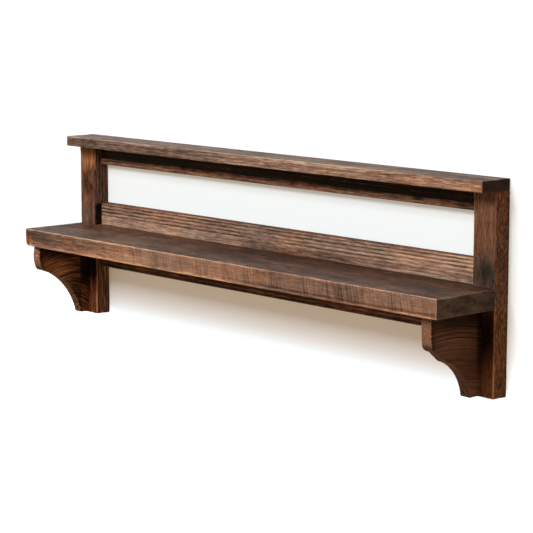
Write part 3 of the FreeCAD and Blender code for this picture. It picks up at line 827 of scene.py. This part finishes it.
corbelSettings = dict(
    stepThick=1.5 * mm, stepUp=1.6 * mm, stepCurve=1.2 * mm, band=3 * mm, arris=(1.5 * mm, 0.5, 30),
    noseLines=(0.1, 0.25, 0.45, 0.7, 1.0), crispArris=0.3 * mm, crispWithin=6 * mm, sharpAngle=50,
    brushing=(0.25 * mm, (12, 210, 60)), brushedAxes=(1.0, 0.5, 0.0), sawn=0.4,
    ringWander=2 * mm, wanderScale=(16, 18, 18), grainPerRadian=0.07, rimWidth=1.8 * mm, rimBelow=0.6,
    # places measured down from the top, back from the nose or up from the foot
    glowDown=0.045, glowTall=0.03, glowBack=0.035, glowDeep=0.035, ringsTall=0.032,
    postEase=(-3 * mm, 1 * mm), postUp=(30 * mm, 65 * mm), shelfDown=(32 * mm, 6 * mm),
    shelfBack=(-10 * mm, 40 * mm), noseBack=3 * mm, noseDeep=5 * mm, footUp=(35 * mm, 10 * mm),
    # the scroll's underside is darkened as painted shade, and made redder
    tone=dict(below=-0.12, nearNose=-0.12),
    warm=dict(front=0.12, below=0.35),
)
corbelLooks = dict(
    left=dict(
        seed=151, noseHeight=42 * mm, swell=3.4 * mm, noseRound=10 * mm, lip=17 * mm, fall=6 * mm,
        hollow=10 * mm, foot=15 * mm, ringsFrom=(0.058, -0.14), fineness=1.5, shaded=15 * mm,
        tone=dict(
            sides=-0.38, glow=0.48, front=0.13, byPost=0.192, upByPost=-0.512, byShelf=-0.42, foot=0.04,
        ),
        warm=dict(sides=0.85, glow=0.6), plain=dict(awayFromRings=0.2),
        finish=dict(base=0.4, offset=(1.1, 1.1, 2.6), rings=0.46, streaks=0.16, fibres=0.34, blotches=0.05),
    ),
    right=dict(
        seed=171, noseHeight=49 * mm, swell=1.2 * mm, noseRound=13 * mm, lip=18 * mm, fall=15 * mm,
        hollow=10.3 * mm, foot=20 * mm, ringsFrom=(0.03, -0.32), fineness=2.9, shaded=7 * mm,
        tone=dict(
            sides=-0.095, glow=0.08, front=0.14, byPost=-0.05, upByPost=-0.15, byShelf=-0.24, foot=0.14,
        ),
        warm=dict(sides=0.25, glow=0.1), plain=dict(awayFromRings=0.42),
        finish=dict(base=0.4, offset=(3.4, 1.1, 2.9), rings=0.2, fibres=0.32, streaks=0.1, blotches=0.05),
    ),
)


def scrollCurve(shape, depth, height, samples=400):
    # underside from nose to post: a quarter round, a falling lip, a hollow arc and the level foot
    bottom = height - shape.noseHeight
    turn = np.linspace(0, math.pi / 2, samples)
    r = shape.noseRound
    nose = np.stack([r - r * np.cos(turn), bottom + r - r * np.sin(turn)], axis=1)
    lipEnd = np.array([r + shape.lip, bottom - shape.fall])
    footFront = np.array([depth - shape.foot, 0])
    chord = footFront - lipEnd
    length = np.linalg.norm(chord)
    radius = length**2 / (8 * shape.hollow) + shape.hollow / 2
    half = math.asin(length / 2 / radius)
    across = np.array([-chord[1], chord[0]]) / length
    sweep = np.linspace(-half, half, samples)[:, None]
    centre = (lipEnd + footFront) / 2 + across * (shape.hollow - radius)
    cove = centre + radius * (np.cos(sweep) * across + np.sin(sweep) * chord / length)
    return np.concatenate([nose, cove, [[depth, 0]]])


def makeCorbel(side):
    # a block with lines spaced evenly along its scroll, whose underside is lifted onto the scroll
    o, own = named(**corbelSettings), named(**corbelLooks[side])
    seed = own.seed
    low, high = corners(f"{side}_corbel")
    depth, height = high[1] - low[1], high[2] - low[2]
    curve = scrollCurve(own, depth, height)
    walked = np.concatenate([[0], np.cumsum(np.linalg.norm(np.diff(curve, axis=0), axis=1))])
    count = int(walked[-1] / o.stepCurve)
    ys = np.interp(np.linspace(0, walked[-1], count), walked, curve[:, 0]) + low[1]
    noseLines = low[1] + o.arris[0] * np.array(o.noseLines)
    ys = np.unique(np.concatenate([ys, noseLines]).round(6))
    ys[0], ys[-1] = low[1], high[1]
    xs = ruledLines(low[0], high[0], o.stepThick, o.band)
    zs = ruledLines(low[2], high[2], o.stepUp, o.band)
    points, quads = carvedShell(xs, ys, zs)
    crisp = (points[:, 1:] > high[1:] - o.crispWithin).any(axis=1)
    radius = np.where(crisp, o.crispArris, unevenArris(points, *o.arris, seed))
    skin, outward, _ = wornSkin(points, low, high, radius)
    # the nose bows forward in the middle
    under = np.interp(skin[:, 1] - low[1], curve[:, 0], curve[:, 1])
    share = (skin[:, 2] - low[2]) / height
    skin[:, 2] = low[2] + between(under, height, share)
    nearNose = 1 - (skin[:, 1] - low[1]) / depth
    skin[:, 1] += own.swell * (1 - 4 * share * (1 - share)) * nearNose**4
    left, front, below, right, _, _ = faces(outward)
    sides = left + right
    # growth rings are arcs round a centre below the bracket
    x, y, z = skin.T
    ringY, ringZ = y - low[1] - own.ringsFrom[0], z - high[2] - own.ringsFrom[1]
    ringRadius = np.hypot(ringY, ringZ) + o.ringWander * layeredNoise(skin, o.wanderScale, seed + 4)
    grain = np.stack([np.arctan2(ringZ, ringY) * o.grainPerRadian, own.fineness * ringRadius, x], axis=1)
    cut = noiseDepth(grain, *o.brushing, seed + 2) * (sides + front)
    skin = pressedIn(skin, outward * o.brushedAxes, cut)
    x, y, z = skin.T
    back, up, down = y - low[1], z - low[2], high[2] - z
    rim = rubbed(np.minimum(x - low[0], high[0] - x), o.rimWidth, front + o.rimBelow * below)
    # the side glows in the middle, where its rings show most, and its foot is lighter;
    # painted shade darkens it under the shelf and higher up in a band beside the post
    glow = bell(down, o.glowDown, o.glowTall) * bell(back, o.glowBack, o.glowDeep) * sides
    byPost = ease(*o.postEase, back - depth + own.shaded) * sides
    zones = dict(
        sides=sides, front=front, below=below, glow=glow,
        # painted shade in the band beside the post, higher up, and under the shelf
        byPost=byPost, upByPost=byPost * ease(*o.postUp, up),
        byShelf=ease(*o.shelfDown, down) * ease(*o.shelfBack, back) * sides,
        nearNose=bell(back, o.noseBack, o.noseDeep) * sides,
        foot=ease(*o.footUp, up) * sides,
        awayFromRings=(1 - bell(down, o.glowDown, o.ringsTall)) * sides,
    )
    material = woodMaterial(f"{side}CorbelStain", own.finish)
    piece = (f"{side}Bracket", f"{side}_corbel", "corbel_wood", (skin, quads), material, o.sharpAngle)
    addPiece(*piece, grain=grain, rim=rim, sawn=o.sawn * (front + below), **stained(zones, o, own))


for side in corbelLooks:
    makeCorbel(side)

# Steel and dowels keep their CAD shapes and get their own finishes

steelSettings = dict(
    brushed=((900, 900, 60), 2.0, 0.6), brushedRough=0.25,
    spots=((240, 240, 240), 3.0, 0.6), spotsFrom=(5.0, 1.0, 2.0), spotLimits=(0.5, 0.75), spotShade=0.55,
    yellowZinc=((205, 186, 130), 0.3), brightZinc=((190, 193, 196), 0.32),
)


def steelMaterial(name):
    # plated steel: brushed noise varies the roughness, and dull spots darken the plating
    o = named(**steelSettings)
    shade, roughness = steelSettings[name]
    plating = linearColor(shade)
    material, tree = newMaterial(name)
    place = addNode(tree, "TexCoord").outputs["Object"]
    brushed = stretched(tree, place, (0.0, 0.0, 0.0), *o.brushed)
    spots = noiseMask(tree, place, o.spotsFrom, o.spots, o.spotLimits)
    color = mixColors(tree, spots, plating, plating * o.spotShade)
    coated(tree, color, Metallic=1.0, Roughness=summed(tree, roughness, (brushed, o.brushedRough)))
    return material


beechSettings = dict(
    flecks=((300, 900, 900), 3.0, 0.6), flecksFrom=(1.0, 2.0, 3.0), fleckLimits=(0.35, 0.7),
    pale=(222, 184, 140), dark=(176, 132, 92), roughness=0.6,
)


def beechMaterial():
    # bare beech with short flecks along the dowel
    o = named(**beechSettings)
    material, tree = newMaterial("bareBeech")
    place = addNode(tree, "TexCoord").outputs["Object"]
    flecks = noiseMask(tree, place, o.flecksFrom, o.flecks, o.fleckLimits)
    color = mixColors(tree, flecks, linearColor(o.pale), linearColor(o.dark))
    coated(tree, color, Roughness=o.roughness)
    return material


# the last word of a node's name says what it is
yellowZinc, brightZinc = steelMaterial("yellowZinc"), steelMaterial("brightZinc")
finishes = dict(screws=yellowZinc, plate=brightZinc, dowels=beechMaterial())
for name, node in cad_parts.items():
    finish = finishes.get(name.split("_")[-1])
    if finish is not None:
        node.data.materials.clear()
        node.data.materials.append(finish)
print("steel and dowels finished")

# White wall and pale floor, solid from the front only, so that they block no other view

stageSettings = dict(
    wide=6.0, tall=5.0, behind=0.4 * mm, floor=-0.95,
    # paint takes the shadows, and lift is the faint warm light that the camera sees on it
    paint=(0.84, 0.885, 0.945), lift=(0.105, 0.07, 0.04),
    # the window is the wall between the posts and the rails; its darker paint is painted shade, and its
    # stronger lift lightens the shadows in it
    windowPaint=(0.611, 0.683, 0.704), windowLift=(0.286, 0.252, 0.226),
    windowWide=(0.45, 0.42), windowFoot=(-0.01, 0.03), windowTop=(0.14, 0.12),
    # the strip of wall just beside the right post, whose darker paint is a painted shadow
    besidePaint=(0.67, 0.717, 0.7), besideFrom=(0.44, 0.45), besideTo=(0.47, 0.452),
    besideFoot=(-0.17, -0.14), besideTop=(0.155, 0.125),
    # brighter places: how far out, between which heights and by which colour
    wallClears=[
        ((-2, -1), (0.1, 0.135), (0.1, 0.1, 0.1)),
        ((-2, -1), (-0.118, -0.165), (0.11, 0.29, 0.4)),
        ((0.385, 0.41), (-0.136, -0.152), (0.6, 0.6, 0.6)),
        ((0.435, 0.46), (-0.02, -0.14), (0.3, 0.3, 0.3)),
    ],
    floorClears=[((-2, -1), (-0.9, -0.94), (0.5, 0.5, 0.5))],
)


def stageMaterial(name, clears):
    # diffuse paint plus light that only the camera sees; in the window darker paint is painted shade and
    # more light lifts its shadows;
    # beside the right post darker paint is a painted shadow, and each clear place adds light
    o = named(**stageSettings)
    material, tree = newMaterial(name)
    path = addNode(tree, "LightPath").outputs
    backfacing = addNode(tree, "NewGeometry").outputs["Backfacing"]
    seen = maths(tree, "MULTIPLY", path["Is Camera Ray"], maths(tree, "SUBTRACT", 1.0, backfacing))
    place = addNode(tree, "TexCoord").outputs["Object"]
    x, _, z = addNode(tree, "SeparateXYZ", Vector=place).outputs
    out = maths(tree, "ABSOLUTE", x)
    window = inZone(tree, (out, o.windowWide), (z, o.windowFoot), (z, o.windowTop))
    postShadow = inZone(tree, (x, o.besideFrom), (x, o.besideTo), (z, o.besideFoot), (z, o.besideTop))
    color = mixColors(tree, postShadow, mixColors(tree, window, o.paint, o.windowPaint), o.besidePaint)
    light = mixColors(tree, window, o.lift, o.windowLift)
    for sideways, heights, brighter in clears:
        light = vectorSum(tree, inZone(tree, (out, sideways), (z, heights)), brighter, light)
    paint = addNode(tree, "BsdfDiffuse", Color=color)
    lift = addNode(tree, "Emission", Color=light, Strength=1.0)
    both = addNode(tree, "AddShader", _0=paint.outputs[0], _1=lift.outputs[0])
    unseen = addNode(tree, "BsdfTransparent")
    mix = addNode(tree, "MixShader", _0=seen, _1=unseen.outputs[0], _2=both.outputs[0])
    addNode(tree, "OutputMaterial", Surface=mix.outputs[0])
    return material


def makeStage():
    # one upright and one level rectangle
    o = named(**stageSettings)
    w, t, b, f = o.wide, o.tall, o.behind, o.floor
    wall = [(-w, b, f), (w, b, f), (w, b, t), (-w, b, t)]
    floor = [(-w, -w, f), (w, -w, f), (w, w, f), (-w, w, f)]
    for name, ring, clears in (("wallBehind", wall, o.wallClears), ("floorBelow", floor, o.floorClears)):
        mesh = bpy.data.meshes.new(name)
        mesh.from_pydata(ring, [], [(0, 1, 2, 3)])
        mesh.materials.append(stageMaterial(name + "White", clears))
        plane = placed(name, mesh)


makeStage()

# Soft light: a broad lamp high in front, cool sky above and warm bounce from below

lightSettings = dict(
    place=(0.35, -5.37, 3.66), aim=(0.0, -0.05, 0.0), wide=2.6, tall=2.25, power=405.0,
    tint=(0.955, 0.975, 1.0), above=(0.32, 0.34, 0.37), below=(0.64, 0.46, 0.28),
    horizon=(-0.25, 0.25), backdrop=(1.0, 1.0, 1.0),
)


def makeLamp():
    # turned so that it looks from its place towards its aim
    o = named(**lightSettings)
    lamp = bpy.data.lights.new("stripLamp", "AREA")
    lamp.shape = "RECTANGLE"
    lamp.size, lamp.size_y = o.wide, o.tall
    lamp.energy, lamp.color = o.power, o.tint
    item = placed("stripLamp", lamp)
    item.location = o.place
    x, y, z = np.array(o.aim) - np.array(o.place)
    item.rotation_euler = (math.atan2(math.hypot(x, y), -z), 0, math.atan2(-x, y))


def makeSky():
    # eased across the horizon from the bounce to the sky, and white where the camera sees it
    o = named(**lightSettings)
    world = bpy.data.worlds.new("paleSky")
    scene.world = world
    world.use_nodes = True
    tree = world.node_tree
    tree.nodes.clear()
    path = addNode(tree, "LightPath").outputs
    direction = addNode(tree, "TexCoord").outputs["Generated"]
    height = addNode(tree, "SeparateXYZ", Vector=direction).outputs["Z"]
    sky = mixColors(tree, remap(tree, height, *o.horizon), o.below, o.above)
    color = mixColors(tree, path["Is Camera Ray"], sky, o.backdrop)
    background = addNode(tree, "Background", Color=color, Strength=1.0)
    addNode(tree, "OutputWorld", Surface=background.outputs[0])


makeLamp()
makeSky()

# Camera where the photograph was taken from, in metres and degrees

cameraSettings = dict(
    place=(2.10566, -1.92559, 0.4206), lens=131.175, sensor=36, nearest=0.05, yaw=47.8802, pitch=8.8674,
)


def makeCamera():
    # turned left by its yaw and down by its pitch
    o = named(**cameraSettings)
    camera = bpy.data.cameras.new("photoCamera")
    camera.sensor_width, camera.lens = o.sensor, o.lens
    camera.clip_start = o.nearest
    item = placed("photoCamera", camera)
    item.location = o.place
    item.rotation_euler = (math.radians(90 - o.pitch), 0, math.radians(o.yaw))
    scene.camera = item


makeCamera()
scene.view_settings.view_transform = "Standard"
print("stage, light and camera set")
